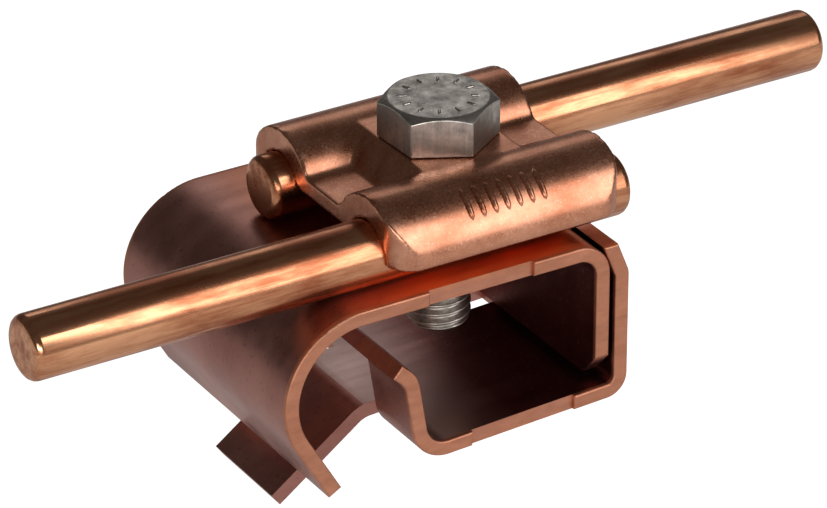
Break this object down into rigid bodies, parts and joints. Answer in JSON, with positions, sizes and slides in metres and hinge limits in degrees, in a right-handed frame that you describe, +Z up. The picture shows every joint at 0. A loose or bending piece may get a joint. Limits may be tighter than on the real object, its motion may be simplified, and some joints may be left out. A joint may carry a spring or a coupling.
{
  "type": "ground clamp",
  "caption": "Copper strap clamp that hooks over a gutter bead, with a hinged claw and a bolted grooved cleat that presses round conductors onto its top plate.",
  "frame": {"origin": "axis of the round gutter bead that the hook goes over, at mid-width of the straps", "axes": "+X along the two conductors, from the hook towards the bolt; +Y across the straps; +Z up along the bolt towards its head"},
  "size_m": [0.153, 0.0512, 0.0593],
  "materials": {
    "copper_sheet": "rolled copper sheet, satin",
    "copper_cleat": "pressed copper, fine grain",
    "copper_rod": "drawn copper, bright with darker streaks",
    "steel_bolt": "brushed steel"
  },
  "bodies": {
    "hook": {"hook_strap": "copper_sheet"},
    "claw": {"claw_strap": "copper_sheet"},
    "cleat": {"double_cleat": "copper_cleat"},
    "bolt": {"hex_bolt": "steel_bolt"},
    "front_rod": {"front_conductor": "copper_rod"},
    "back_rod": {"back_conductor": "copper_rod"}
  },
  "joints": [
    {"name": "claw_swing", "type": "hinge", "parent": "hook", "child": "claw", "pos_m": [0.0372, 0, 0.0079], "axis": [0, -1, 0], "range_deg": [-2.5, 8]},
    {"name": "cleat_lift", "type": "slide", "parent": "hook", "child": "cleat", "axis": [0, 0, 1], "range_m": [0, 0.006]},
    {"name": "bolt_turn", "type": "hinge", "parent": "cleat", "child": "bolt", "pos_m": [0.0249, -0.00465, 0.0134], "axis": [0, 0, 1], "range_deg": [0, 1440]},
    {"name": "front_conductor_slide", "type": "slide", "parent": "hook", "child": "front_rod", "axis": [1, 0, 0], "range_m": [-0.015, 0.015]},
    {"name": "back_conductor_slide", "type": "slide", "parent": "hook", "child": "back_rod", "axis": [1, 0, 0], "range_m": [-0.015, 0.015]}
  ],
  "couplings": [
    {"joint": "cleat_lift", "follows": "bolt_turn", "m_per_rad": 0.00023873}
  ]
}
